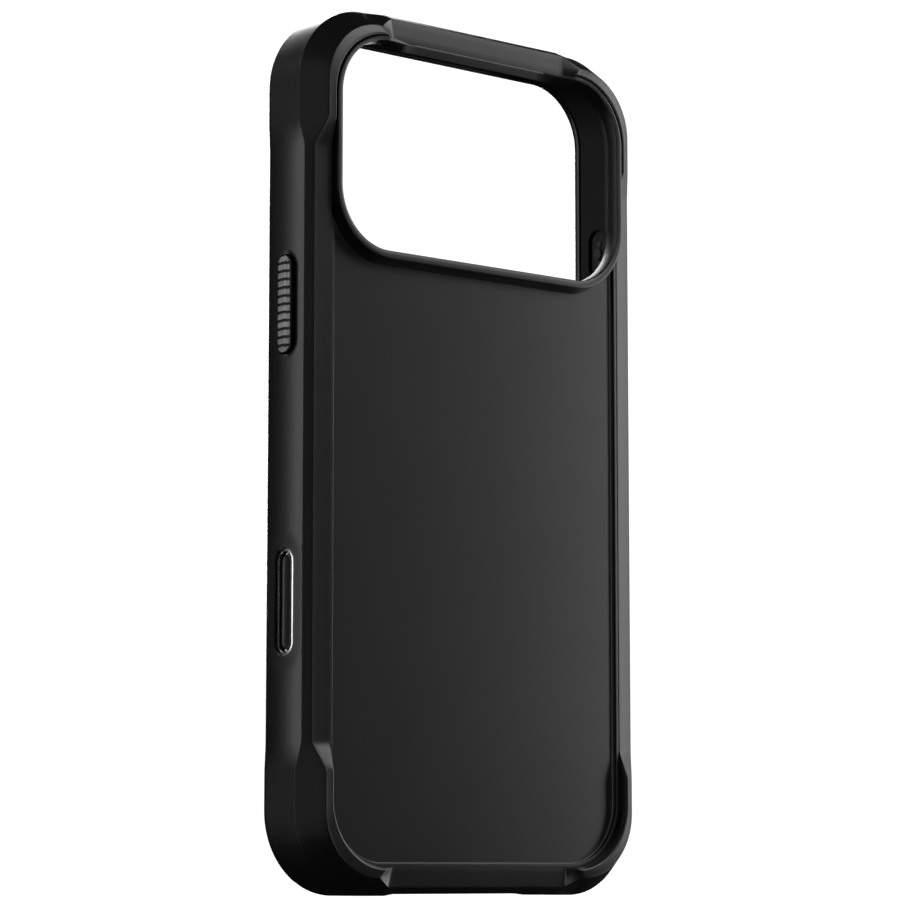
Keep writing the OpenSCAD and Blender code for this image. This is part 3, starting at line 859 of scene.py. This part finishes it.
# %% The glossy strip
strip_out, strip_low = (abs(x) for x in (box_mm("touch_strip")[0][0],
                                         box_mm("touch_strip")[1][0]))
s_length, s_width = strip_in[0] - 2 * gap, strip_in[1] - 2 * gap
brim, brim_t, soft_r = 1.1, 0.3, 0.3
levels = [(strip_low, s_length + brim, s_width + brim),
          (strip_low + brim_t, s_length + brim, s_width + brim),
          (strip_low + brim_t, s_length, s_width), (strip_out - soft_r, s_length, s_width)]
for a in np.radians((20, 40, 60, 80)):
    less = 2 * soft_r * (1 - np.cos(a))
    levels.append((strip_out - soft_r + soft_r * np.sin(a), s_length - less, s_width - less))
for inner, sink in ((0.8, 0.02), (1.2, 0.05), (1.6, 0.07), (2.1, 0.08)):
    levels.append((strip_out - sink, s_length - inner, max(s_width - inner, 0.2)))
points, faces = pill_stack(levels, -1, touch_z, n=28)
to_object("touch_cover", points, faces, gloss, "touch_key", ["touch_strip"])
print("touch ring", touch_length, "x", touch_w, "mm")

# %% [markdown]
# ## The lining
# Inside, a sheet of microfibre is glued to the panel so that it can't scratch the phone. It
# is one flat sheet with rounded corners and a softly pressed edge. It lies glued down, so
# it needs no cloth simulation. The nap is in the material, since single fibres are far finer
# than the mesh.

# %% The sheet
lining_low, lining_high = box_mm("lining")
sheet_hw, sheet_z0, sheet_z1 = lining_high[0], lining_low[2], lining_high[2]
sheet_r = 10.85
sheet_rows = []
for inset, y in ((0, y_floor), (0, y_lining - 0.2), (0.06, y_lining - 0.08),
                 (0.25, y_lining - 0.02), (0.8, y_lining)):
    quarter = []
    for sx, sz, start in ((1, 1, 0), (-1, 1, 90), (-1, -1, 180), (1, -1, 270)):
        for a in np.radians(np.linspace(start, start + 90, 17)):
            r = sheet_r - inset
            quarter.append((sx * (sheet_hw - sheet_r) + r * np.cos(a), y,
                            (sheet_z1 - sheet_r if sz > 0 else sheet_z0 + sheet_r)
                            + r * np.sin(a)))
    sheet_rows.append(quarter)
sheet_rows = np.array(sheet_rows)
count = sheet_rows.shape[1]
faces = grid_faces(5, count, close_rows=False)
faces += [tuple(range(count)), tuple(4 * count + k for k in reversed(range(count)))]
sheet = to_object("lining_sheet", sheet_rows.reshape(-1, 3), faces, cloth, "case",
                  ["lining"])

# %% [markdown]
# ## Pieces that stay as they are
# The panel, the magnets, the antenna, the clips and the pads are already right in shape, so
# the CAD's own meshes stay and only get their finish. They could be built again with rounds,
# but most of them are hidden, and the panel is flat.

# %% Give the CAD pieces their finish
finishes = {"back_panel": panel, "ring_magnets": nickel, "bar_magnet": nickel,
            "magnet_film": film, "tag_coil": copper, "tag_chip": chip_black,
            "touch_pad": pad_rubber}
for key in keys:
    finishes[key + "_clip"] = steel
    finishes[key + "_pad"] = pad_rubber
for node, material in finishes.items():
    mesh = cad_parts[node].data
    mesh.materials.clear()
    mesh.materials.append(material)
print("CAD pieces with a finish:", len(finishes))

# %% [markdown]
# ## Floor and backdrop
# A black object on white is lit by what it mirrors. A white room would wash it out, so the
# pale floor and the pale backdrop are seen by the camera only, and the case mirrors nothing
# but the lights. Both glow white by themselves, so the case stands on plain white without a
# shadow.

# %% Floor and backdrop
def glowing(name, strength, base):
    material = bpy.data.materials.new(name)
    material.use_nodes = True
    shader = material.node_tree.nodes["Principled BSDF"]
    shader.inputs["Base Color"].default_value = (base, base, base, 1)
    shader.inputs["Roughness"].default_value = 0.9
    shader.inputs["Specular IOR Level"].default_value = 0.0
    shader.inputs["Emission Color"].default_value = (1, 1, 1, 1)
    shader.inputs["Emission Strength"].default_value = strength
    return material


def only_camera(thing):
    thing.visible_glossy = thing.visible_diffuse = False
    thing.visible_transmission = thing.visible_shadow = False


bpy.ops.mesh.primitive_plane_add(size=8, location=(0, 0, -0.00003))
floor = bpy.context.object
floor.name = "floor"
floor.data.materials.append(glowing("pale floor", 1.0, 0.3))
only_camera(floor)
bpy.ops.mesh.primitive_uv_sphere_add(radius=3.9, segments=48, ring_count=24)
dome = bpy.context.object
dome.name = "backdrop"
dome.data.materials.append(glowing("pale backdrop", 1.1, 0.0))
only_camera(dome)
print("stage:", floor.name, "and", dome.name)

# %% [markdown]
# ## Light
# Narrow soft boxes draw the edges of a black object. The key stands close on the right, a
# little behind the case: because it is near, the panel grows brighter towards it. A tall
# strip on the left runs a gradient over the long wall. Three more tall boxes, at the left,
# straight at the back panel and at the right, fill the chamfers, facets and corner bumps.
# Two boxes overhead light the top facet, one on the screen's side shows the inside, and the
# surroundings stay almost dark. One large soft light would be simpler, but it would turn a
# black case grey and lose its edges.

# %% Lights
target = np.array([0, 0, mid_z * MM])


def soft_box(name, bearing, height, distance, size, power):
    """bearing: degrees from the left (-X) towards the case's back (-Y); power in watts."""
    data = bpy.data.lights.new(name, "AREA")
    data.shape = "RECTANGLE"
    data.size, data.size_y = size
    data.energy = power
    light = bpy.data.objects.new(name, data)
    bpy.context.scene.collection.objects.link(light)
    a, e = math.radians(bearing), math.radians(height)
    towards = np.array([-math.cos(a) * math.cos(e), -math.sin(a) * math.cos(e), math.sin(e)])
    light.location = target + towards * distance
    light.rotation_euler = Euler((math.pi / 2 - e, 0, math.atan2(-towards[0], towards[1])
                                  + math.pi), "XYZ")


tall, wide = (0.16, 1.2), (0.4, 0.4)
soft_box("key", 150, 9, 0.25, (0.06, 0.27), 0.24)
soft_box("strip", -30, 3, 0.8, (0.08, 1.2), 1.8)
soft_box("left_fill", 15, 3, 0.8, tall, 0.3)
soft_box("rear_fill", 88, 3, 0.8, tall, 1.7)
soft_box("side", 176, 3, 0.8, tall, 2.6)
soft_box("front", -115, 20, 1.0, (0.6, 0.6), 14)
soft_box("overhead_left", -35, 42, 0.9, wide, 0.7)
soft_box("overhead_right", 124, 39, 0.9, wide, 2.3)
world = bpy.data.worlds.new("studio")
bpy.context.scene.world = world
world.use_nodes = True
world.node_tree.nodes["Background"].inputs["Color"].default_value = (1, 1, 1, 1)
world.node_tree.nodes["Background"].inputs["Strength"].default_value = 0.004

# %% [markdown]
# ## Camera
# The case is seen from its left, from table height, with the camera tilted up a little. A
# long lens from over half a metre away keeps its tall sides nearly parallel; a short lens
# close by would make the lower end look far bigger than the top.

# %% Camera
camera_data = bpy.data.cameras.new("camera")
camera = bpy.data.objects.new("camera", camera_data)
bpy.context.scene.collection.objects.link(camera)
camera.location = (-0.39912, -0.45104, 0.00389)
heading, tilt = math.radians(41.337), math.radians(7.228)
camera.rotation_euler = Euler((math.pi / 2 + tilt, 0, -heading), "XYZ")
camera_data.sensor_width, camera_data.lens = 36, 133.55
camera_data.clip_start, camera_data.clip_end = 0.01, 20
bpy.context.scene.camera = camera
bpy.context.scene.view_settings.view_transform = "Standard"
print("camera", tuple(round(c, 3) for c in camera.location))
